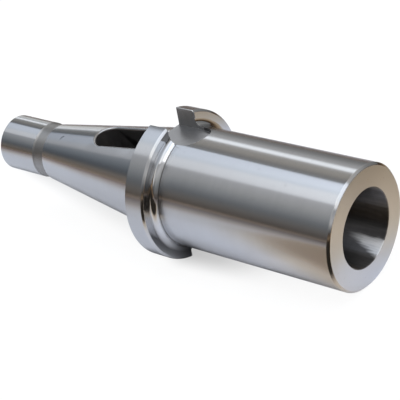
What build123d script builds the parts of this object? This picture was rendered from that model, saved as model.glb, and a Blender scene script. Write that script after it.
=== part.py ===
from build123d import *
from math import radians, sqrt, tan
import os

# A reducing sleeve: a 7:24 taper shank with a driving flange, whose nose holds a Morse taper socket.
# It is one piece of steel, turned, milled and ground. All lengths are in millimetres.
# X runs along the axis towards the nose, and X = 0 is the shank's gauge plane.
# +Z passes through the middle of one of the two drive notches.

# Shank: the taper, and the pilot behind it
gauge_dia = 44.45
shank_taper = 7 / 24
taper_length = 65.4
taper_end_bevel = 0.3
shank_length = 93.4
groove_dia = 24.2
groove_width = 5.5
pilot_dia = 24.9
pilot_lead = 0.8
pilot_tail_bevel = 1.1

# Drawbar hole in the tail: its wall stands at the outside of the thread
drawbar_thread_dia = 16.0
drawbar_thread_length = 32.0
drawbar_drill_dia = 13.8
drawbar_drill_run_on = 6.0
drawbar_mouth_dia = 18.4
drawbar_mouth_angle = 60.0
drill_point_angle = 118.0

# Flange, and the neck that joins it to the body
flange_dia = 63.0
flange_setback = 1.6
flange_thickness = 9.6
flange_front_bevel = 0.9
flange_rear_bevel = 0.5
neck_radius = 2.7
neck_step = 0.12
neck_step_length = 0.3

# Body and nose
body_dia = 50.0
nose_length = 95.0
nose_bevel = 1.0

# Morse No. 4 socket, measured from the nose face
socket_mouth_dia = 31.267
socket_taper = 1 / 19.254
socket_mouth_bevel = 0.3
socket_end_dia = 26.5
socket_depth = 107.0

# Drive notches: the cutter's round run-out ends in the body
notch_width = 16.1
notch_floor = 22.3
notch_straight_end = 15.4
notch_edge_bevel = 0.4
notch_count = 2

# Drift slot through the shank, turned about the axis from the line of the notches
drift_slot_width = 12.0
drift_slot_length = 32.5
drift_slot_from_nose_face = 98.0
drift_slot_turn = 10.3
drift_slot_edge_radius = 0.8

# Room for a cutter beyond the face that it starts from
cutter_clearance = 2.0

# Places along the axis, and radii, that follow from the sizes above
gauge_radius = gauge_dia / 2
body_radius = body_dia / 2
flange_radius = flange_dia / 2
pilot_radius = pilot_dia / 2
groove_radius = groove_dia / 2
tail_x = -shank_length
taper_end_x = -taper_length
taper_end_radius = gauge_radius - taper_length * shank_taper / 2
groove_end_x = taper_end_x - groove_width
flange_rear_x = flange_setback
flange_front_x = flange_rear_x + flange_thickness
neck_end_x = flange_front_x + neck_radius
neck_end_radius = body_radius + neck_step
neck_start_radius = neck_end_radius + neck_radius
nose_x = nose_length
slot_front_x = nose_x - drift_slot_from_nose_face


def turned(*outline):
    """A solid turned about the axis, from its outline in places along the axis and radii."""
    with BuildSketch(Plane.XY) as section:
        with BuildLine():
            Polyline(*outline, close=True)
        make_face()
    return revolve(section.sketch, Axis.X)


def pilot():
    """The straight tail behind the taper, with the groove that parts them."""
    return turned(
        (tail_x, 0),
        (tail_x, pilot_radius - pilot_tail_bevel),
        (tail_x + pilot_tail_bevel, pilot_radius),
        (groove_end_x - pilot_lead, pilot_radius),
        (groove_end_x, groove_radius),
        (taper_end_x, groove_radius),
        (taper_end_x, 0),
    )


def slotted_taper():
    """The taper with the drift slot through it, rounded at its mouths before the flange joins it."""
    cone = turned(
        (taper_end_x, 0),
        (taper_end_x, taper_end_radius - taper_end_bevel),
        (taper_end_x + taper_end_bevel, taper_end_radius + taper_end_bevel * shank_taper / 2),
        (nose_x, gauge_radius + nose_x * shank_taper / 2),
        (nose_x, 0),
    )
    slot = drift_slot()
    slotted = cone - slot
    mouths = new_edges(cone, slot, combined=slotted)
    return split(fillet(mouths, drift_slot_edge_radius), Plane.YZ.offset(flange_rear_x), Keep.BOTTOM)


def flanged_body():
    """The flange, the neck and the body with its nose, all in front of the flange's rear face."""
    with BuildSketch(Plane.XY) as section:
        with BuildLine():
            flange = Polyline(
                (flange_rear_x, 0),
                (flange_rear_x, flange_radius - flange_rear_bevel),
                (flange_rear_x + flange_rear_bevel, flange_radius),
                (flange_front_x - flange_front_bevel, flange_radius),
                (flange_front_x, flange_radius - flange_front_bevel),
                (flange_front_x, neck_start_radius),
            )
            neck = TangentArc(flange @ 1, (neck_end_x, neck_end_radius), tangent=(0, -1))
            Polyline(
                neck @ 1,
                (neck_end_x + neck_step_length, body_radius),
                (nose_x - nose_bevel, body_radius),
                (nose_x, body_radius - nose_bevel),
                (nose_x, 0),
                flange @ 0,
            )
        make_face()
    return revolve(section.sketch, Axis.X) - drift_slot()


def morse_socket():
    """The cutter for the socket: a drilled hole with the drill's point, bored out to the taper."""
    mouth_radius = socket_mouth_dia / 2
    drill_radius = socket_end_dia / 2
    point_length = drill_radius / tan(radians(drill_point_angle / 2))
    drilled = turned(
        (nose_x + cutter_clearance, 0),
        (nose_x + cutter_clearance, drill_radius),
        (nose_x - socket_depth, drill_radius),
        (nose_x - socket_depth - point_length, 0),
    )
    bored = turned(
        (nose_x + cutter_clearance, 0),
        (nose_x + cutter_clearance, mouth_radius + socket_mouth_bevel),
        (nose_x, mouth_radius + socket_mouth_bevel),
        (nose_x - socket_mouth_bevel, mouth_radius - socket_mouth_bevel * socket_taper / 2),
        (nose_x - socket_depth, mouth_radius - socket_depth * socket_taper / 2),
        (nose_x - socket_depth, 0),
    )
    return drilled + bored


def drawbar_hole():
    """The cutter for the blind hole in the tail, countersunk at its mouth."""
    thread_radius = drawbar_thread_dia / 2
    drill_radius = drawbar_drill_dia / 2
    mouth_radius = drawbar_mouth_dia / 2
    mouth_depth = (mouth_radius - thread_radius) / tan(radians(drawbar_mouth_angle / 2))
    thread_end_x = tail_x + mouth_depth + drawbar_thread_length
    drill_end_x = thread_end_x + drawbar_drill_run_on
    point_length = drill_radius / tan(radians(drill_point_angle / 2))
    return turned(
        (tail_x - cutter_clearance, 0),
        (tail_x - cutter_clearance, mouth_radius),
        (tail_x, mouth_radius),
        (tail_x + mouth_depth, thread_radius),
        (thread_end_x, thread_radius),
        (thread_end_x, drill_radius),
        (drill_end_x, drill_radius),
        (drill_end_x + point_length, 0),
    )


def drive_notch():
    """The cutter for the notch at +Z: straight walls that end in the cutter's own radius."""
    half = notch_width / 2
    flared = half + notch_edge_bevel
    start_x = flange_rear_x - cutter_clearance
    top = flange_radius + cutter_clearance
    with BuildSketch(Plane.XY.offset(notch_floor)) as outline:
        with BuildLine():
            side = Polyline(
                (start_x, flared),
                (flange_rear_x, flared),
                (flange_rear_x + notch_edge_bevel, half),
                (notch_straight_end, half),
            )
            run_out = RadiusArc(side @ 1, (notch_straight_end, -half), half)
            Polyline(
                run_out @ 1,
                (flange_rear_x + notch_edge_bevel, -half),
                (flange_rear_x, -flared),
                (start_x, -flared),
                side @ 0,
            )
        make_face()
    notch = extrude(outline.sketch, top - notch_floor)
    return notch + notch_front_bevel(half, flared, top) + notch_rim_bevel(half, top, start_x)


def notch_front_bevel(half, flared, top):
    """The bevel on the front edges of the walls, from the foot of the neck outwards."""
    foot = sqrt(neck_start_radius ** 2 - half ** 2)
    end_x = flange_front_x + notch_edge_bevel
    with BuildSketch(Plane.XY.offset(foot)) as outline:
        with BuildLine():
            Polyline(
                (flange_front_x - notch_edge_bevel, half),
                (flange_front_x, flared),
                (end_x, flared),
                (end_x, -flared),
                (flange_front_x, -flared),
                (flange_front_x - notch_edge_bevel, -half),
                close=True,
            )
        make_face()
    return extrude(outline.sketch, top - foot)


def notch_rim_bevel(half, top, start_x):
    """The bevel on the outer edges of the walls, along the flange's rim."""
    edge_z = sqrt(flange_radius ** 2 - half ** 2)
    foot = edge_z - notch_edge_bevel
    flare = top - foot
    with BuildSketch(Plane.YZ.offset(start_x)) as outline:
        with BuildLine():
            Polyline(
                (-half, foot),
                (half, foot),
                (half + flare, top),
                (-half - flare, top),
                close=True,
            )
        make_face()
    return extrude(outline.sketch, notch_straight_end - start_x)


def drift_slot():
    """The cutter for the slot that takes the drift, from side to side of the shank."""
    reach = flange_radius + cutter_clearance
    with BuildSketch(Plane.XY.offset(-reach)) as outline:
        with Locations((slot_front_x - drift_slot_length / 2, 0)):
            SlotOverall(drift_slot_length, drift_slot_width)
    return extrude(outline.sketch, 2 * reach).rotate(Axis.X, drift_slot_turn)


def reducing_sleeve():
    sleeve = pilot() + slotted_taper() + flanged_body() - morse_socket() - drawbar_hole()
    for turn in range(notch_count):
        sleeve -= drive_notch().rotate(Axis.X, turn * 360 / notch_count)
    return sleeve


if __name__ == "__main__":
    os.makedirs("parts", exist_ok=True)
    part = reducing_sleeve()
    part.label = "reducing_sleeve"
    export_step(part, "parts/reducing_sleeve.step")
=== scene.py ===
import bpy
import bmesh
import math
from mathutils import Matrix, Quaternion, Vector


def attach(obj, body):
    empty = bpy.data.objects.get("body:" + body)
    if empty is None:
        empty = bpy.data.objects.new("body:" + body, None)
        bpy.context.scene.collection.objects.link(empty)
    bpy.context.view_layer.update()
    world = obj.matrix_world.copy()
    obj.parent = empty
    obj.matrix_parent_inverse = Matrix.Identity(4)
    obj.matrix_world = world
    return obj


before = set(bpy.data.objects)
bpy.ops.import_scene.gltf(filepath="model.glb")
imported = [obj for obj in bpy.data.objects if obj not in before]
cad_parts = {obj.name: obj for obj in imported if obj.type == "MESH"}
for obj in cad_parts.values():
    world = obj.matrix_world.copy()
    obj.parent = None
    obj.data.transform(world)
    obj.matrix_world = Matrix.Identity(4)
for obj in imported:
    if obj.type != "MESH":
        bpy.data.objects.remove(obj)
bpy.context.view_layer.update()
scene = bpy.context.scene
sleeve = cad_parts["reducing_sleeve"]
white = (1.0, 1.0, 1.0)

# Small helpers for the node trees


def addNode(tree, kind, **settings):
    node = tree.nodes.new(kind)
    for name, value in settings.items():
        setattr(node, name, value)
    return node


def feed(tree, socket, source):
    # source is either another node's output or a plain value
    if isinstance(source, bpy.types.NodeSocket):
        tree.links.new(source, socket)
    elif socket.type == "RGBA":
        socket.default_value = (*source, 1.0)
    else:
        socket.default_value = source


def calc(tree, operation, *values, clamp=False):
    node = addNode(tree, "ShaderNodeMath", operation=operation, use_clamp=clamp)
    for socket, value in zip(node.inputs, values):
        feed(tree, socket, value)
    return node.outputs[0]


def remap(tree, value, low, high, toLow=0.0, toHigh=1.0, smooth=False):
    node = addNode(tree, "ShaderNodeMapRange", clamp=True)
    node.interpolation_type = "SMOOTHSTEP" if smooth else "LINEAR"
    for socket, source in zip(node.inputs, (value, low, high, toLow, toHigh)):
        feed(tree, socket, source)
    return node.outputs[0]


def blendColour(tree, factor, first, second, mode="MIX"):
    # sockets 6 and 7 are the node's two colours, and output 2 is their blend
    node = addNode(tree, "ShaderNodeMix", data_type="RGBA", blend_type=mode)
    feed(tree, node.inputs[0], factor)
    feed(tree, node.inputs[6], first)
    feed(tree, node.inputs[7], second)
    return node.outputs[2]


def tinted(tree, colour, tint):
    return blendColour(tree, 1.0, colour, tint, "MULTIPLY")


def vectorCalc(tree, operation, *values, result="Value"):
    node = addNode(tree, "ShaderNodeVectorMath", operation=operation)
    for socket, value in zip(node.inputs, values):
        feed(tree, socket, value)
    return node.outputs[result]


def partsOf(tree, vector):
    node = addNode(tree, "ShaderNodeSeparateXYZ")
    feed(tree, node.inputs[0], vector)
    return node.outputs


def joined(tree, *parts):
    node = addNode(tree, "ShaderNodeCombineXYZ")
    for socket, part in zip(node.inputs, parts):
        feed(tree, socket, part)
    return node.outputs[0]


def colourRamp(tree, factor, stops):
    node = addNode(tree, "ShaderNodeValToRGB")
    elements = node.color_ramp.elements
    while len(elements) > 1:
        elements.remove(elements[-1])
    for index, (place, colour) in enumerate(stops):
        element = elements[0] if index == 0 else elements.new(place)
        element.position = place
        element.color = (*colour, 1.0)
    feed(tree, node.inputs[0], factor)
    return node.outputs[0]


def rampByLength(tree, length, stops):
    first, last = stops[0][0], stops[-1][0]
    shares = [((at - first) / (last - first), colour) for at, colour in stops]
    return colourRamp(tree, remap(tree, length, first, last), shares)


def fadeAt(tree, value, place, edge):
    # 0 before the place, 1 after it
    return remap(tree, value, place - edge / 2, place + edge / 2, smooth=True)


def angleFromUp(tree, across, up):
    return calc(tree, "MULTIPLY", calc(tree, "ARCTAN2", across, up), 180 / math.pi)


# Where the photograph was taken from: degrees and metres
photoView = {
    "azimuth": 43.944,      # 0 looks along +Y
    "elevation": 29.321,
    "roll": -10.732,
    "distance": 0.51904,    # from the point that it aims at
    "aim": (0.013391, 0.0, -0.006718),
    "lens": 113.007,        # millimetres, on a sensor 36 wide
    "sensor": 36.0,
}


def makeCamera(view):
    azimuth = math.radians(view["azimuth"])
    elevation = math.radians(view["elevation"])
    back = Vector((
        math.sin(azimuth) * math.cos(elevation),
        -math.cos(azimuth) * math.cos(elevation),
        math.sin(elevation),
    ))
    lens = bpy.data.cameras.new("photoCamera")
    lens.lens = view["lens"]
    lens.sensor_width = view["sensor"]
    camera = bpy.data.objects.new("photoCamera", lens)
    scene.collection.objects.link(camera)
    level = (-back).to_track_quat("-Z", "Y")
    camera.rotation_mode = "QUATERNION"
    camera.rotation_quaternion = Quaternion(back, math.radians(view["roll"])) @ level
    camera.location = Vector(view["aim"]) + back * view["distance"]
    scene.camera = camera
    print("camera set", view["distance"], "m from the sleeve")


makeCamera(photoView)

# Studio: dim walls in bands that run nearly along the sleeve, a strip light behind it, and a
# wide soft box overhead. Band angles are from straight up, positive towards the camera's side.
studio = {
    "turn": 18.0,           # how far the bands are turned from the axis, seen from above
    "walls": (
        (-90, (0.20, 0.20, 0.20)),
        (-70, (0.30, 0.30, 0.295)),
        (-55, (0.53, 0.53, 0.53)),
        (-32, (0.50, 0.48, 0.45)),
        (-18, (0.44, 0.41, 0.37)),
        (-8, (0.28, 0.275, 0.265)),
        (2, (0.40, 0.41, 0.43)),
        (36, (0.64, 0.64, 0.65)),
        (50, (0.52, 0.52, 0.515)),
        (60, (0.37, 0.38, 0.385)),
        (70, (0.215, 0.225, 0.235)),
        (80, (0.17, 0.16, 0.15)),
        (90, (0.085, 0.07, 0.06)),
    ),
    "tail": {               # beyond the tail the walls are dimmer and the horizon lighter
        "from": -0.58,      # part of the direction along X
        "to": -0.80,
        "walls": (0.50, 0.55, 0.61),
        "farHorizon": (3.9, 3.9, 3.85),
        "nearHorizon": (2.0, 1.9, 1.75),
        "sideEdge": 20.0,   # degrees over which the far side gives way to the near one
        "middle": 9.0,      # degrees from straight up
        "wallsEnd": 66.0,   # degrees to either side of the middle
        "horizonStart": 79.0,
    },
    "nose": {               # beyond the nose they are lighter straight ahead, dimmer to the side
        "from": 0.45,       # part of the direction along X
        "to": 0.65,
        "sideStart": 25.0,  # degrees towards the camera's side
        "sideEnd": 60.0,
        "side": (0.58, 0.58, 0.58),
        "aheadFrom": 0.86,
        "aheadTo": 0.94,
        "ahead": (1.8, 1.8, 1.8),
    },
    "below": (              # past the sheet's end, by how far the ray runs along X
        (-0.40, (0.42, 0.33, 0.25)),
        (-0.10, (0.24, 0.18, 0.12)),
        (0.10, (0.03, 0.025, 0.02)),
    ),
    "belowEdge": 0.03,      # how far under level the room below takes over
    "strip": {              # strip light behind, on the tail's side
        "turn": 25.0,
        "from": -40.5,
        "to": -27.5,
        "edge": 8.0,
        "colour": (1.42, 1.46, 1.50),
        "start": -0.3,      # along the bands: full before the first, gone after the second
        "end": 0.1,
    },
    "box": {                # soft box overhead, on a level plane one unit up
        "lowest": 0.02,     # rays lower than this meet the plane no further out
        "farEdge": -0.12,
        "farFlare": 0.30,   # the far edge draws back on both sides of this place
        "flareFrom": -0.2,
        "nearEdge": 0.53,
        "edge": 0.06,
        "along": (
            (-2.4, (0.38, 0.38, 0.38)),
            (-1.8, (0.37, 0.38, 0.39)),
            (-1.55, (0.50, 0.51, 0.53)),
            (-1.3, (0.80, 0.81, 0.82)),
            (-0.92, (0.78, 0.79, 0.80)),
            (-0.84, (0.80, 0.81, 0.82)),
            (-0.76, (0.97, 0.98, 0.99)),
            (-0.5, (1.15, 1.16, 1.17)),
            (-0.36, (2.2, 2.2, 2.2)),
            (0.05, (2.2, 2.2, 2.2)),
            (0.38, (1.42, 1.42, 1.43)),
            (0.6, (1.10, 1.10, 1.10)),
            (1.0, (1.36, 1.36, 1.35)),
            (1.45, (1.36, 1.36, 1.35)),
            (1.9, (0.95, 0.95, 0.95)),
            (2.6, (0.60, 0.60, 0.60)),
        ),
        "across": (         # cool at its far side, with a seam where two panels meet
            (-0.12, (0.98, 1.04, 1.14)),
            (0.02, (0.99, 1.05, 1.14)),
            (0.09, (0.88, 0.95, 1.03)),
            (0.14, (0.93, 0.97, 1.02)),
            (0.21, (1.04, 1.06, 1.09)),
            (0.53, (1.04, 1.05, 1.07)),
        ),
    },
}


def turnedAxes(tree, direction, turn):
    # How far a direction lies across and along an axis turned in plan
    turn = math.radians(turn)
    acrossAxis = (-math.sin(turn), -math.cos(turn), 0.0)
    alongAxis = (math.cos(turn), -math.sin(turn), 0.0)
    return [vectorCalc(tree, "DOT_PRODUCT", direction, axis) for axis in (acrossAxis, alongAxis)]


def makeWalls(tree, direction, axes, values):
    across = turnedAxes(tree, direction, values["turn"])[0]
    angle = angleFromUp(tree, across, axes["Z"])
    light = rampByLength(tree, angle, values["walls"])

    tail = values["tail"]
    tailward = remap(tree, axes["X"], tail["from"], tail["to"], smooth=True)
    nearSide = fadeAt(tree, angle, 0.0, tail["sideEdge"])
    horizon = blendColour(tree, nearSide, tail["farHorizon"], tail["nearHorizon"])
    low = calc(tree, "ABSOLUTE", calc(tree, "SUBTRACT", angle, tail["middle"]))
    low = remap(tree, low, tail["wallsEnd"], tail["horizonStart"], smooth=True)
    shift = blendColour(tree, low, tail["walls"], horizon)
    light = tinted(tree, light, blendColour(tree, tailward, white, shift))

    nose = values["nose"]
    noseward = remap(tree, axes["X"], nose["from"], nose["to"], smooth=True)
    beside = remap(tree, angle, nose["sideStart"], nose["sideEnd"], smooth=True)
    ahead = remap(tree, axes["X"], nose["aheadFrom"], nose["aheadTo"], smooth=True)
    shift = blendColour(tree, beside, white, nose["side"])
    shift = blendColour(tree, ahead, shift, nose["ahead"])
    return tinted(tree, light, blendColour(tree, noseward, white, shift))


def addStrip(tree, light, direction, axes, values):
    across, along = turnedAxes(tree, direction, values["turn"])
    angle = angleFromUp(tree, across, axes["Z"])
    rising = fadeAt(tree, angle, values["from"], values["edge"])
    falling = fadeAt(tree, angle, values["to"], values["edge"])
    reach = remap(tree, along, values["start"], values["end"], 1.0, 0.0, smooth=True)
    mask = calc(tree, "MULTIPLY", calc(tree, "SUBTRACT", rising, falling), reach)
    return blendColour(tree, mask, light, values["colour"])


def addSoftBox(tree, light, axes, values):
    height = calc(tree, "MAXIMUM", axes["Z"], values["lowest"])
    across = calc(tree, "DIVIDE", calc(tree, "MULTIPLY", axes["Y"], -1.0), height)
    along = calc(tree, "DIVIDE", axes["X"], height)
    aside = calc(tree, "ABSOLUTE", calc(tree, "SUBTRACT", along, values["flareFrom"]))
    flared = calc(tree, "MULTIPLY_ADD", aside, values["farFlare"], across)
    rising = fadeAt(tree, flared, values["farEdge"], values["edge"])
    falling = fadeAt(tree, across, values["nearEdge"], values["edge"])
    mask = calc(tree, "SUBTRACT", rising, falling, clamp=True)
    tint = rampByLength(tree, across, values["across"])
    boxLight = tinted(tree, rampByLength(tree, along, values["along"]), tint)
    return blendColour(tree, mask, light, boxLight)


def makeWorld(values):
    world = bpy.data.worlds.new("studio")
    scene.world = world
    world.use_nodes = True
    tree = world.node_tree
    tree.nodes.clear()
    direction = addNode(tree, "ShaderNodeTexCoord").outputs["Generated"]
    axes = partsOf(tree, direction)
    light = makeWalls(tree, direction, axes, values)
    light = addStrip(tree, light, direction, axes, values["strip"])
    light = addSoftBox(tree, light, axes, values["box"])
    down = remap(tree, axes["Z"], 0.0, -values["belowEdge"])
    light = blendColour(tree, down, light, rampByLength(tree, axes["X"], values["below"]))

    seen = addNode(tree, "ShaderNodeLightPath").outputs["Is Camera Ray"]
    background = addNode(tree, "ShaderNodeBackground")
    feed(tree, background.inputs["Color"], blendColour(tree, seen, light, white))
    output = addNode(tree, "ShaderNodeOutputWorld")
    feed(tree, output.inputs["Surface"], background.outputs[0])
    print("studio lit")


makeWorld(studio)

# Floor: a white sheet that the sleeve lies on by its flange and its nose. Metal sees a painted
# reflection on it: a painted pool of light, pale near the sleeve and fading to a brown table, with
# painted light and shade. It ends near on the right, where the room below shows dark. Places on it
# are in metres along X and Y. A band is its near side, the width of that side's soft edge, and the
# same for its far side.
floorSheet = {
    "normal": (-0.065, 0.0, 0.998),
    "point": (0.0102, 0.0, -0.03036),
    "size": 12.0,
    "paper": (0.80, 0.81, 0.84),
    "paperSeen": 0.15,      # how much of the paper's light and shade the camera sees
    "glow": 0.93,           # share of the background's white that is not lit by the studio
    "metalGlow": 0.09,      # the same as the steel sees it
    "poolCentre": (-0.07, 0.03),
    "poolStretch": 0.62,
    "pool": (               # a painted pool of light on the brown table, by distance from the pool's centre
        (0.10, (1.0, 1.0, 1.0)),
        (0.16, (0.92, 0.88, 0.84)),
        (0.20, (0.76, 0.69, 0.61)),
        (0.25, (0.60, 0.52, 0.45)),
        (0.32, (0.49, 0.43, 0.37)),
        (0.47, (0.36, 0.31, 0.27)),
        (0.70, (0.24, 0.20, 0.17)),
        (1.20, (0.16, 0.13, 0.11)),
    ),
    "leftSlant": -0.4,
    "left": (               # painted light, growing by distance towards the tail's end, slanted to the far side
        (-0.470, (1.70, 1.60, 1.60)),
        (-0.270, (1.45, 1.45, 1.50)),
        (-0.200, (1.26, 1.29, 1.33)),
        (-0.140, (1.06, 1.08, 1.10)),
        (-0.080, (1.0, 1.0, 1.0)),
    ),
    "farSlant": 0.3,
    "far": (                # painted falloff of light, darker by distance to the far side, slanted to the nose's end
        (0.060, (1.0, 1.0, 1.0)),
        (0.080, (0.90, 0.89, 0.88)),
        (0.118, (0.54, 0.53, 0.52)),
        (0.200, (0.48, 0.47, 0.46)),
        (0.320, (0.47, 0.46, 0.45)),
    ),
    "warmCentre": (0.150, -0.170),
    "warm": (               # by distance from the middle of the round hole where the sheet ends, brown near its edge
        (0.140, (0.62, 0.48, 0.36)),
        (0.152, (0.74, 0.60, 0.45)),
        (0.160, (0.86, 0.75, 0.60)),
        (0.169, (0.97, 0.93, 0.89)),
        (0.184, (1.0, 1.0, 1.02)),
    ),
    "endFrom": 0.156,       # the sheet ends here, by distance from the same middle
    "endTo": 0.143,
    "rightSlant": 0.5,
    "right": (              # painted light that lifts the sleeve's shadow before the nose's end, then brown; by distance towards the nose's end, slanted to the far side
        (-0.060, (1.0, 1.0, 1.0)),
        (0.000, (1.18, 1.19, 1.21)),
        (0.028, (1.22, 1.23, 1.26)),
        (0.042, (1.42, 1.43, 1.46)),
        (0.090, (1.42, 1.43, 1.46)),
        (0.100, (1.66, 1.71, 1.84)),
        (0.110, (1.42, 1.43, 1.48)),
        (0.122, (1.30, 1.17, 0.95)),
        (0.140, (1.25, 1.03, 0.76)),
        (0.175, (1.22, 0.98, 0.68)),
        (0.300, (0.60, 0.45, 0.30)),
    ),
    "underSlant": 0.04,     # the band swings to the near side at the nose's end
    "underBand": (-0.0095, 0.016, 0.045, 0.040),
    "under": (              # painted shade right under the sleeve, as the steel sees it
        (-0.150, 0.30),
        (-0.112, 0.48),
        (-0.092, 0.28),
        (-0.060, 0.28),
        (-0.020, 0.60),
        (0.000, 0.92),
        (0.014, 0.86),
        (0.021, 0.91),
        (0.026, 0.84),
        (0.034, 0.64),
        (0.042, 0.72),
        (0.055, 0.92),
        (0.062, 0.92),
        (0.092, 0.0),
    ),
    "flangeShade": 0.66,    # and round the place where the flange touches
    "flangeCentre": (0.0, -0.004),
    "flangeFrom": 0.024,
    "flangeTo": 0.012,
    "contactSkew": 0.30,    # the shade that the camera sees swings to the far side at the tail
    "contactBand": (-0.013, 0.014, 0.010, 0.026),
    "contact": (            # its strength by place along the sleeve
        (-0.160, 0.0),
        (-0.140, 0.14),
        (-0.122, 0.29),
        (-0.100, 0.22),
        (-0.085, 0.19),
        (-0.055, 0.17),
        (-0.040, 0.15),
        (-0.010, 0.12),
        (0.008, 0.45),
        (0.025, 0.37),
        (0.035, 0.26),
        (0.045, 0.13),
        (0.055, 0.04),
        (0.080, 0.0),
    ),
}


def planDistance(tree, along, across, centre, stretch=1.0):
    offsetAlong = calc(tree, "MULTIPLY", calc(tree, "SUBTRACT", along, centre[0]), stretch)
    offsetAcross = calc(tree, "SUBTRACT", across, centre[1])
    return vectorCalc(tree, "LENGTH", joined(tree, offsetAlong, offsetAcross))


def bandShade(tree, value, band, along, stops):
    # What light is left: less where the value is in the band, by the stops along the sleeve
    near, nearEdge, far, farEdge = band
    entered = fadeAt(tree, value, near, nearEdge)
    within = calc(tree, "SUBTRACT", entered, fadeAt(tree, value, far, farEdge))
    strength = rampByLength(tree, along, [(at, (share,) * 3) for at, share in stops])
    return calc(tree, "SUBTRACT", 1.0, calc(tree, "MULTIPLY", within, strength))


def steelsTint(tree, along, across, warm, values):
    # The sheet as the steel sees it: a painted reflection, with painted light and shade
    lengths = {
        "pool": planDistance(tree, along, across, values["poolCentre"], values["poolStretch"]),
        "warm": warm,
        "right": calc(tree, "MULTIPLY_ADD", across, values["rightSlant"], along),
        "left": calc(tree, "MULTIPLY_ADD", across, values["leftSlant"], along),
        "far": calc(tree, "MULTIPLY_ADD", along, values["farSlant"], across),
    }
    tint = white
    for name, length in lengths.items():
        tint = tinted(tree, tint, rampByLength(tree, length, values[name]))
    slanted = calc(tree, "MULTIPLY_ADD", along, values["underSlant"], across)
    under = bandShade(tree, slanted, values["underBand"], along, values["under"])
    flange = planDistance(tree, along, across, values["flangeCentre"])
    least = 1.0 - values["flangeShade"]
    flange = remap(tree, flange, values["flangeFrom"], values["flangeTo"], 1.0, least, smooth=True)
    return tinted(tree, tint, calc(tree, "MULTIPLY", under, flange))


def camerasShade(tree, along, across, values):
    # The soft shade beside the sleeve as the camera sees it
    behind = calc(tree, "MINIMUM", calc(tree, "SUBTRACT", along, values["point"][0]), 0.0)
    swung = calc(tree, "MULTIPLY_ADD", behind, values["contactSkew"], across)
    return bandShade(tree, swung, values["contactBand"], along, values["contact"])


def makePaper(values):
    material = bpy.data.materials.new("paperSheet")
    material.use_nodes = True
    tree = material.node_tree
    tree.nodes.clear()
    path = addNode(tree, "ShaderNodeLightPath")
    camera = path.outputs["Is Camera Ray"]
    metal = calc(tree, "MAXIMUM", path.outputs["Is Glossy Ray"], path.outputs["Is Transmission Ray"])
    place = partsOf(tree, addNode(tree, "ShaderNodeTexCoord").outputs["Object"])
    along = calc(tree, "ADD", place["X"], values["point"][0])
    across = place["Y"]
    warm = planDistance(tree, along, across, values["warmCentre"])
    tint = blendColour(tree, metal, white, steelsTint(tree, along, across, warm, values))

    shade = calc(tree, "MULTIPLY_ADD", camera, values["paperSeen"] - 1.0, 1.0)
    lit = addNode(tree, "ShaderNodeBsdfDiffuse")
    feed(tree, lit.inputs["Color"], tinted(tree, tinted(tree, values["paper"], tint), shade))
    shine = calc(tree, "MULTIPLY", camera, values["glow"])
    shine = calc(tree, "MULTIPLY", shine, camerasShade(tree, along, across, values))
    shine = calc(tree, "MULTIPLY_ADD", metal, values["metalGlow"], shine)
    glow = addNode(tree, "ShaderNodeEmission")
    feed(tree, glow.inputs["Color"], tint)
    feed(tree, glow.inputs["Strength"], shine)
    both = addNode(tree, "ShaderNodeAddShader")
    feed(tree, both.inputs[0], lit.outputs[0])
    feed(tree, both.inputs[1], glow.outputs[0])

    ended = remap(tree, warm, values["endFrom"], values["endTo"], smooth=True)
    sheet = addNode(tree, "ShaderNodeMixShader")
    feed(tree, sheet.inputs[0], calc(tree, "MULTIPLY", ended, metal))
    feed(tree, sheet.inputs[1], both.outputs[0])
    feed(tree, sheet.inputs[2], addNode(tree, "ShaderNodeBsdfTransparent").outputs[0])
    output = addNode(tree, "ShaderNodeOutputMaterial")
    feed(tree, output.inputs["Surface"], sheet.outputs[0])
    return material


def makeFloor(values):
    mesh = bpy.data.meshes.new("floor")
    bm = bmesh.new()
    bmesh.ops.create_grid(bm, x_segments=1, y_segments=1, size=values["size"] / 2)
    bm.to_mesh(mesh)
    bm.free()
    mesh.materials.append(makePaper(values))
    floor = bpy.data.objects.new("floor", mesh)
    scene.collection.objects.link(floor)
    normal = Vector(values["normal"]).normalized()
    floor.rotation_mode = "QUATERNION"
    floor.rotation_quaternion = Vector((0, 0, 1)).rotation_difference(normal)
    floor.location = values["point"]
    print("floor laid")


makeFloor(floorSheet)

# Shared effects. A span is where a noise starts to count and where it counts in full.
effects = {
    "toolLines": {              # marks that run round the axis, on sides and end faces alike
        "aroundScale": 90.0,
        "fine": (1.0, 3.0, 0.6),            # scale, detail and roughness
        "coarse": (0.17, 1.0, 0.5),
        "coarseShare": 0.35,
    },
    "handling": {               # faint clouds of oil and handling, and tiny specks
        "cloud": (4.0, 0.55),               # detail and roughness
        "filmSpan": (0.35, 0.75),
        "speck": (900.0, 0.0),              # scale and detail
        "speckSpan": (0.80, 0.84),
    },
    "edgeWear": {               # edges, where the rounded normal leaves the plain one
        "edgeSpan": (0.995, 0.90),          # agreement of the two normals
        "breaks": (700.0, 3.0),
        "breakSpan": (0.3, 0.6),
    },
}


def newGroup(name, inputs, outputs):
    group = bpy.data.node_groups.new(name, "ShaderNodeTree")
    for socketName, kind in inputs:
        group.interface.new_socket(socketName, in_out="INPUT", socket_type=kind)
    for socketName, kind in outputs:
        group.interface.new_socket(socketName, in_out="OUTPUT", socket_type=kind)
    return group, addNode(group, "NodeGroupInput"), addNode(group, "NodeGroupOutput")


def noise(tree, vector, scale, detail, roughness=0.5):
    node = addNode(tree, "ShaderNodeTexNoise")
    feed(tree, node.inputs["Vector"], vector)
    feed(tree, node.inputs["Scale"], scale)
    feed(tree, node.inputs["Detail"], detail)
    feed(tree, node.inputs["Roughness"], roughness)
    return node.outputs[0]


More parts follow.
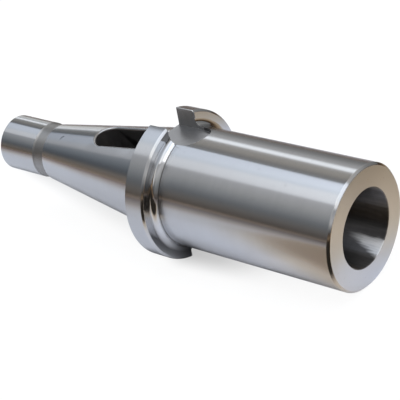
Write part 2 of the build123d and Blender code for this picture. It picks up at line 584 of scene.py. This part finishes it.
def makeToolLines(values):
    inputs = [("Vector", "NodeSocketVector"), ("Spacing", "NodeSocketFloat")]
    group, given, result = newGroup("toolLines", inputs, [("Lines", "NodeSocketFloat")])
    place = partsOf(group, given.outputs["Vector"])
    squares = [calc(group, "MULTIPLY", place[axis], place[axis]) for axis in "YZ"]
    radius = calc(group, "SQRT", calc(group, "ADD", *squares))
    run = calc(group, "DIVIDE", calc(group, "ADD", place["X"], radius), given.outputs["Spacing"])
    around = [calc(group, "MULTIPLY", place[axis], values["aroundScale"]) for axis in "YZ"]
    stretched = joined(group, run, *around)
    fine = noise(group, stretched, *values["fine"])
    coarse = noise(group, stretched, *values["coarse"])
    fine = calc(group, "MULTIPLY", fine, 1.0 - values["coarseShare"])
    lines = calc(group, "MULTIPLY_ADD", coarse, values["coarseShare"], fine)
    feed(group, result.inputs["Lines"], lines)
    return group


def makeHandling(values):
    inputs = [("Vector", "NodeSocketVector"), ("Scale", "NodeSocketFloat")]
    outputs = [("Film", "NodeSocketFloat"), ("Specks", "NodeSocketFloat")]
    group, given, result = newGroup("handling", inputs, outputs)
    cloud = noise(group, given.outputs["Vector"], given.outputs["Scale"], *values["cloud"])
    feed(group, result.inputs["Film"], remap(group, cloud, *values["filmSpan"], smooth=True))
    speck = noise(group, given.outputs["Vector"], *values["speck"])
    feed(group, result.inputs["Specks"], remap(group, speck, *values["speckSpan"]))
    return group


def makeEdgeWear(values):
    inputs = [
        ("Vector", "NodeSocketVector"),
        ("Rounded", "NodeSocketVector"),
        ("Amount", "NodeSocketFloat"),
    ]
    group, given, result = newGroup("edgeWear", inputs, [("Wear", "NodeSocketFloat")])
    plain = addNode(group, "ShaderNodeNewGeometry").outputs["Normal"]
    agreement = vectorCalc(group, "DOT_PRODUCT", plain, given.outputs["Rounded"])
    edge = remap(group, agreement, *values["edgeSpan"])
    breaks = noise(group, given.outputs["Vector"], *values["breaks"])
    broken = remap(group, breaks, *values["breakSpan"])
    wear = calc(group, "MULTIPLY", calc(group, "MULTIPLY", edge, broken), given.outputs["Amount"])
    feed(group, result.inputs["Wear"], wear)
    return group


toolLines = makeToolLines(effects["toolLines"])
handling = makeHandling(effects["handling"])
edgeWear = makeEdgeWear(effects["edgeWear"])


def useGroup(tree, group, **values):
    node = addNode(tree, "ShaderNodeGroup", node_tree=group)
    for name, value in values.items():
        feed(tree, node.inputs[name], value)
    return node


# What every finish has where it gives no value of its own. Lengths are in metres.
commonFinish = {
    "anisotropic": 0.0,
    "grain": 0.25,              # turns: the blur of a ground surface runs along the axis
    "edgeRadius": 0.0001,
    "edgeSamples": 8,
    "wear": 0.0,
    "bareColour": (0.68, 0.68, 0.69),
    "cloudScale": 55.0,
    "lineSpan": (0.35, 0.65),
    "lineShade": 0.12,
    "lineRoughness": (0.3, 0.7, -0.02, 0.03),       # the lines' span, then what it adds
    "filmRoughness": 0.06,
    "grime": 0.75,              # its share of the film's colour
    "speckShade": 0.35,
}

# Finishes of the one piece of steel
finishes = {
    "groundSteel": {            # shank taper, body, pilot and flange rim, ground between centres
        "colour": (0.56, 0.57, 0.59),
        "filmColour": (0.51, 0.51, 0.52),
        "roughness": 0.17,
        "anisotropic": 0.9,
        "spacing": 0.00016,
        "depth": 0.0000006,
        "film": 0.3,
        "wear": 0.4,
        "nick": {               # a small curved mark on the taper
            "centre": (-0.0549, -0.0069, 0.0127),
            "radius": 0.0010,
            "outer": 0.000288,  # half its width with its soft edge, and without
            "inner": 0.000108,
            "side": (-0.75, 0.60, 0.28),    # the part of the ring that shows
            "sideFade": 0.0003,
            "colour": (0.16, 0.16, 0.165),
        },
    },
    "turnedSteel": {            # end faces and the tail's bevel
        "colour": (0.55, 0.555, 0.56),
        "filmColour": (0.49, 0.485, 0.48),
        "roughness": 0.29,
        "anisotropic": 0.85,
        "spacing": 0.00012,
        "depth": 0.0000003,
        "film": 0.12,
        "lineShade": 0.04,
        "wear": 0.4,
    },
    "polishedSteel": {          # neck, and the flange's front face and rear bevel
        "colour": (0.63, 0.635, 0.645),
        "filmColour": (0.57, 0.57, 0.57),
        "roughness": 0.10,
        "anisotropic": 0.5,
        "spacing": 0.0003,
        "depth": 0.0000004,
        "film": 0.2,
        "wear": 0.3,
    },
    "notchWall": {              # walls of the drive notches
        "colour": (0.34, 0.335, 0.33),
        "filmColour": (0.27, 0.265, 0.26),
        "roughness": 0.34,
        "spacing": 0.0005,
        "depth": 0.000004,
        "film": 0.5,
        "wear": 0.6,
    },
    "milledSteel": {            # floors of the drive notches
        "colour": (0.42, 0.425, 0.44),
        "filmColour": (0.37, 0.37, 0.385),
        "roughness": 0.40,
        "spacing": 0.0005,
        "depth": 0.0000012,
        "film": 0.5,
        "wear": 0.6,
    },
    "brokenEdge": {             # bevels on the milled edges, the flange's front and the nose
        "colour": (0.60, 0.60, 0.605),
        "filmColour": (0.54, 0.54, 0.545),
        "roughness": 0.13,
        "spacing": 0.0003,
        "depth": 0.000001,
        "film": 0.3,
        "edgeRadius": 0.0006,
    },
    "slotEdge": {               # rounded rim of the drift slot
        "colour": (0.45, 0.45, 0.455),
        "filmColour": (0.40, 0.40, 0.40),
        "roughness": 0.20,
        "spacing": 0.0003,
        "depth": 0.000001,
        "film": 0.3,
        "edgeRadius": 0.0006,
    },
    "paintedGlintCorner": {             # front corners of the notch walls, rounded, and bright as a painted glint
        "colour": (0.95, 0.95, 0.95),
        "filmColour": (0.90, 0.90, 0.90),
        "roughness": 0.24,
        "spacing": 0.0003,
        "depth": 0.0000003,
        "film": 0.1,
        "edgeRadius": 0.0014,
    },
    "grooveSteel": {            # grinding relief behind the taper, and the pilot's bevel beside it
        "colour": (0.36, 0.355, 0.35),
        "filmColour": (0.27, 0.265, 0.26),
        "roughness": 0.42,
        "anisotropic": 0.3,
        "spacing": 0.0003,
        "depth": 0.000004,
        "film": 0.6,
    },
    "boredSteel": {             # inside of the Morse socket, with the boring bar's feed marks, dark partly as painted shade
        "colour": (0.19, 0.185, 0.19),
        "filmColour": (0.11, 0.11, 0.11),
        "roughness": 0.46,
        "anisotropic": 1.0,
        "spacing": 0.0003,
        "depth": 0.000004,
        "film": 0.6,
        "paintedHighlight": {              # a painted highlight, a bright fan near the mouth: metres and degrees
            "colour": (0.98, 0.98, 0.99),
            "from": 0.0775,
            "to": 0.0865,
            "upper": 43.0,      # round from the bottom
            "upperEdge": 5.0,
            "lower": 15.0,      # at the mouth, and more the deeper it lies
            "lowerEdge": 11.0,
            "mouth": 0.0945,
            "narrowing": 1750.0,
            "drawnOut": 0.12,   # streaks run along the axis
            "streaks": (1500.0, 1.0),               # scale and detail
            "streakSway": (0.3, 0.7, -1.5, 1.5),    # the noise's span, then what it makes of it
            "streakLight": (0.3, 0.6, 0.84, 1.0),
            "broad": (380.0, 2.0),
            "broadLight": (0.42, 0.75, 0.0, 0.13),  # a faint painted highlight in the rest of the bore too
        },
    },
    "slotSteel": {              # walls of the drift slot, left from the cutter
        "colour": (0.34, 0.33, 0.33),
        "filmColour": (0.24, 0.235, 0.235),
        "roughness": 0.42,
        "spacing": 0.0006,
        "depth": 0.000006,
        "film": 0.6,
    },
    "paintedCreaseShade": {            # the neck's step and the notches' round ends: near-black steel as painted shade in these creases
        "colour": (0.11, 0.105, 0.10),
        "filmColour": (0.08, 0.075, 0.07),
        "roughness": 0.42,
        "spacing": 0.0006,
        "depth": 0.000006,
        "film": 0.6,
    },
    "tappedSteel": {            # drawbar hole and its thread
        "colour": (0.26, 0.255, 0.25),
        "filmColour": (0.15, 0.145, 0.14),
        "roughness": 0.34,
        "spacing": 0.0004,
        "depth": 0.000004,
        "film": 0.6,
    },
}


def paintedHighlightMask(tree, place, values):
    # Painted highlight: a bright streaked fan low in the bore near its mouth, and faint patches
    # deeper in
    axes = partsOf(tree, place)
    lengthways = calc(tree, "MULTIPLY", axes["X"], values["drawnOut"])
    drawn = joined(tree, lengthways, axes["Y"], axes["Z"])
    streaks = noise(tree, drawn, *values["streaks"])
    broad = noise(tree, drawn, *values["broad"])
    turned = angleFromUp(tree, axes["Y"], calc(tree, "MULTIPLY", axes["Z"], -1.0))
    turned = calc(tree, "ADD", turned, remap(tree, streaks, *values["streakSway"]))
    deeper = calc(tree, "SUBTRACT", values["mouth"], axes["X"])
    start = calc(tree, "MULTIPLY_ADD", deeper, values["narrowing"], values["lower"])
    lower = fadeAt(tree, calc(tree, "SUBTRACT", turned, start), 0.0, values["lowerEdge"])
    soft = values["upperEdge"] / 2
    upper = remap(tree, turned, values["upper"] + soft, values["upper"] - soft, smooth=True)
    inside = calc(tree, "MULTIPLY", lower, upper)
    inside = calc(tree, "MULTIPLY", inside, remap(tree, streaks, *values["streakLight"]))
    inside = calc(tree, "MULTIPLY", inside, remap(tree, axes["X"], values["from"], values["to"]))
    return calc(tree, "MAXIMUM", inside, remap(tree, broad, *values["broadLight"]))


def nickMask(tree, place, values):
    # A short curved mark: part of a thin ring round a point on the surface
    offset = vectorCalc(tree, "SUBTRACT", place, values["centre"], result="Vector")
    away = calc(tree, "SUBTRACT", vectorCalc(tree, "LENGTH", offset), values["radius"])
    ring = remap(tree, calc(tree, "ABSOLUTE", away), values["outer"], values["inner"])
    side = vectorCalc(tree, "DOT_PRODUCT", offset, values["side"])
    return calc(tree, "MULTIPLY", ring, remap(tree, side, 0.0, values["sideFade"]))


def makeSteel(name, own):
    values = {**commonFinish, **own}
    material = bpy.data.materials.new(name)
    material.use_nodes = True
    tree = material.node_tree
    steel = tree.nodes["Principled BSDF"]
    place = addNode(tree, "ShaderNodeTexCoord").outputs["Object"]
    lines = useGroup(tree, toolLines, Vector=place, Spacing=values["spacing"]).outputs["Lines"]
    hands = useGroup(tree, handling, Vector=place, Scale=values["cloudScale"])
    rounded = addNode(tree, "ShaderNodeBevel", samples=values["edgeSamples"])
    feed(tree, rounded.inputs["Radius"], values["edgeRadius"])
    wear = useGroup(tree, edgeWear, Vector=place, Rounded=rounded.outputs[0], Amount=values["wear"])

    film = calc(tree, "MULTIPLY", hands.outputs["Film"], values["film"])
    lined = remap(tree, lines, *values["lineSpan"], 0.0, values["lineShade"])
    specks = calc(tree, "MULTIPLY", hands.outputs["Specks"], values["speckShade"])
    grime = tuple(values["grime"] * part for part in values["filmColour"])
    colour = blendColour(tree, film, values["colour"], values["filmColour"])
    colour = blendColour(tree, lined, colour, grime)
    colour = blendColour(tree, specks, colour, grime)
    colour = blendColour(tree, wear.outputs["Wear"], colour, values["bareColour"])
    # the painted highlight in the bore, and the nick on the taper
    for mark, makeMask in (("paintedHighlight", paintedHighlightMask), ("nick", nickMask)):
        if mark in values:
            mask = makeMask(tree, place, values[mark])
            colour = blendColour(tree, mask, colour, values[mark]["colour"])
    feed(tree, steel.inputs["Base Color"], colour)

    lineRoughness = remap(tree, lines, *values["lineRoughness"])
    filmRoughness = calc(tree, "MULTIPLY_ADD", film, values["filmRoughness"], values["roughness"])
    feed(tree, steel.inputs["Roughness"], calc(tree, "ADD", lineRoughness, filmRoughness))
    steel.inputs["Metallic"].default_value = 1.0
    steel.inputs["Anisotropic"].default_value = values["anisotropic"]
    if values["anisotropic"] > 0:
        steel.inputs["Anisotropic Rotation"].default_value = values["grain"]
        around = addNode(tree, "ShaderNodeTangent", direction_type="RADIAL", axis="X")
        feed(tree, steel.inputs["Tangent"], around.outputs[0])
    bump = addNode(tree, "ShaderNodeBump")
    feed(tree, bump.inputs["Strength"], 1.0)
    feed(tree, bump.inputs["Distance"], values["depth"])
    feed(tree, bump.inputs["Height"], lines)
    feed(tree, bump.inputs["Normal"], rounded.outputs[0])
    feed(tree, steel.inputs["Normal"], bump.outputs[0])
    return material


steels = {name: makeSteel(name, values) for name, values in finishes.items()}
print("finishes made:", ", ".join(steels))

# Where one finish gives way to the next, in millimetres along the axis and out from it
zones = {
    "socketRadius": 16.4,       # Morse socket
    "socketEnd": -24.0,
    "holeRadius": 9.25,         # drawbar hole
    "holeEnd": -45.0,
    "slotFrom": -37.0,          # drift slot
    "slotTo": -2.0,
    "grooveFrom": -70.95,       # grinding relief
    "grooveTo": -65.35,
    "grooveRadius": 12.3,
    "notchFloor": 22.3,         # drive notches, with what a face's middle may stray
    "notchSlack": 0.05,
    "notchHalf": 8.6,
    "notchTo": 24.0,
    "runOut": 15.3,             # where their round ends start
    "corners": (                # the notch walls' front corners, each with its reach, where the glint is painted
        ((10.9, 8.15, 29.85), 0.75),
        ((11.07, 8.18, 26.63), 0.30),
    ),
    "flangeRear": 1.5,          # the flange's faces and where its front bevel starts
    "flangeFront": 11.2,
    "flangeSlack": 0.1,
    "flangeBevel": 10.28,
    "noseBevel": 93.98,
    "stepFrom": 13.92,          # small step at the neck's front
    "stepTo": 14.22,
}

# The same by the way that a face looks: parts of its normal, 1 for straight that way
looks = {
    "inward": -0.5,             # out from the axis, for walls of the bore
    "rim": 0.95,                # out from the axis, for all that belongs to the drift slot
    "rimStart": 0.3,
    "outward": 0.98,            # out from the axis, for ground surfaces
    "wall": 0.93,               # round the axis, for the notches' straight walls
    "wallBevel": 0.35,
    "level": 0.999,             # along Z, for the notches' floors
    "upright": 0.02,
    "front": 0.3,               # along X, for bevels at the front
    "end": 0.99,                # along X, for end faces
}


def notchFinish(x, y, z, normal, sideways):
    # The finish of a notch's own faces, and none for the others
    if not zones["flangeRear"] < x < zones["notchTo"]:
        return None
    if y >= zones["notchHalf"] or z <= zones["notchFloor"] - zones["notchSlack"]:
        return None
    if abs(normal.z) > looks["level"] and z < zones["notchFloor"] + zones["notchSlack"]:
        return "milledSteel"
    if sideways <= looks["wallBevel"]:
        return None
    upright = abs(normal.z) < looks["upright"]
    # the notches' round ends get painted shade
    if upright and x > zones["runOut"]:
        return "paintedCreaseShade"
    if normal.x > looks["front"]:
        return "brokenEdge"
    return "notchWall" if upright or sideways > looks["wall"] else "brokenEdge"


def finishAt(centre, normal):
    x, y, z = centre.x * 1000, abs(centre.y) * 1000, abs(centre.z) * 1000
    outward = Vector((0, centre.y, centre.z))
    radius = outward.length * 1000
    outward.normalize()
    rise = normal.dot(outward)
    sideways = abs(normal.dot(Vector((1, 0, 0)).cross(outward)))
    if radius < zones["socketRadius"] and x > zones["socketEnd"] and rise < looks["inward"]:
        return "boredSteel"
    if radius < zones["holeRadius"] and x < zones["holeEnd"]:
        return "tappedSteel"
    if zones["slotFrom"] < x < zones["slotTo"] and rise < looks["rim"]:
        return "slotSteel" if rise < looks["rimStart"] else "slotEdge"
    if zones["grooveFrom"] < x < zones["grooveTo"] and radius < zones["grooveRadius"]:
        return "grooveSteel"
    spot = Vector((x, y, z))
    atCorner = any((spot - Vector(corner)).length < reach for corner, reach in zones["corners"])
    # corners that get the painted glint
    if atCorner and sideways < looks["wall"]:
        return "paintedGlintCorner"
    inNotch = notchFinish(x, y, z, normal, sideways)
    if inNotch:
        return inNotch
    if rise > looks["outward"]:
        return "groundSteel"
    # the neck's step gets painted shade
    if zones["stepFrom"] < x < zones["stepTo"] and rise < looks["outward"]:
        return "paintedCreaseShade"
    onFrontBevel = x > zones["noseBevel"] or zones["flangeBevel"] < x < zones["flangeFront"]
    if onFrontBevel and rise > looks["front"] and normal.x > looks["front"]:
        return "brokenEdge"
    if abs(normal.x) > looks["end"] and abs(x - zones["flangeFront"]) > zones["flangeSlack"]:
        return "turnedSteel"
    if x < zones["grooveFrom"]:
        return "grooveSteel" if normal.x > 0 else "turnedSteel"
    return "polishedSteel"


def finishSleeve():
    order = list(steels)
    sleeve.data.materials.clear()
    for name in order:
        sleeve.data.materials.append(steels[name])
    counts = dict.fromkeys(order, 0)
    for face in sleeve.data.polygons:
        name = finishAt(face.center, face.normal)
        face.material_index = order.index(name)
        counts[name] += 1
    print("faces by finish:", counts)


finishSleeve()

# M16 x 2 thread in the drawbar hole: a ridge that winds along the wall. Metres.
drawbarThread = {
    "wall": 0.00802,            # just inside the hole's wall
    "crest": 0.00692,
    "pitch": 0.002,
    "rootWidth": 0.00172,
    "crestWidth": 0.00050,
    "start": -0.0901,
    "turns": 15,
    "steps": 64,                # in each turn
    "runIn": 40,                # steps over which the ridge grows from the wall
    "least": 0.02,              # share of its height that it starts with
}


def makeThread(values):
    bm = bmesh.new()
    outline = (
        (-values["rootWidth"] / 2, values["wall"]),
        (-values["crestWidth"] / 2, values["crest"]),
        (values["crestWidth"] / 2, values["crest"]),
        (values["rootWidth"] / 2, values["wall"]),
    )
    corners = [bm.verts.new((values["start"] + along, 0.0, out)) for along, out in outline]
    edges = [bm.edges.new((corners[i], corners[(i + 1) % 4])) for i in range(4)]
    steps = values["turns"] * values["steps"]
    bmesh.ops.spin(
        bm,
        geom=corners + edges,
        cent=(0, 0, 0),
        axis=(1, 0, 0),
        dvec=(values["pitch"] / values["steps"], 0, 0),
        angle=math.tau * values["turns"],
        steps=steps,
        use_merge=False,
        use_duplicate=False,
    )
    bmesh.ops.holes_fill(bm, edges=[edge for edge in bm.edges if edge.is_boundary], sides=4)
    length = values["pitch"] * values["turns"]
    runIn = values["runIn"] * values["pitch"] / values["steps"]
    for vert in bm.verts:
        radius = math.hypot(vert.co.y, vert.co.z)
        if radius > (values["wall"] + values["crest"]) / 2:
            continue
        along = vert.co.x - values["start"]
        share = min(1.0, max(0.0, (along + values["crestWidth"]) / runIn), (length - along) / runIn)
        grown = values["wall"] - (values["wall"] - values["crest"]) * max(values["least"], share)
        vert.co.y *= grown / radius
        vert.co.z *= grown / radius
    bmesh.ops.recalc_face_normals(bm, faces=bm.faces)
    mesh = bpy.data.meshes.new("drawbar_thread")
    bm.to_mesh(mesh)
    bm.free()
    thread = bpy.data.objects.new("drawbar_thread", mesh)
    scene.collection.objects.link(thread)
    mesh.materials.append(steels["tappedSteel"])
    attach(thread, "root")
    print("thread cut:", len(mesh.polygons), "faces")


makeThread(drawbarThread)

scene.view_settings.view_transform = "Standard"
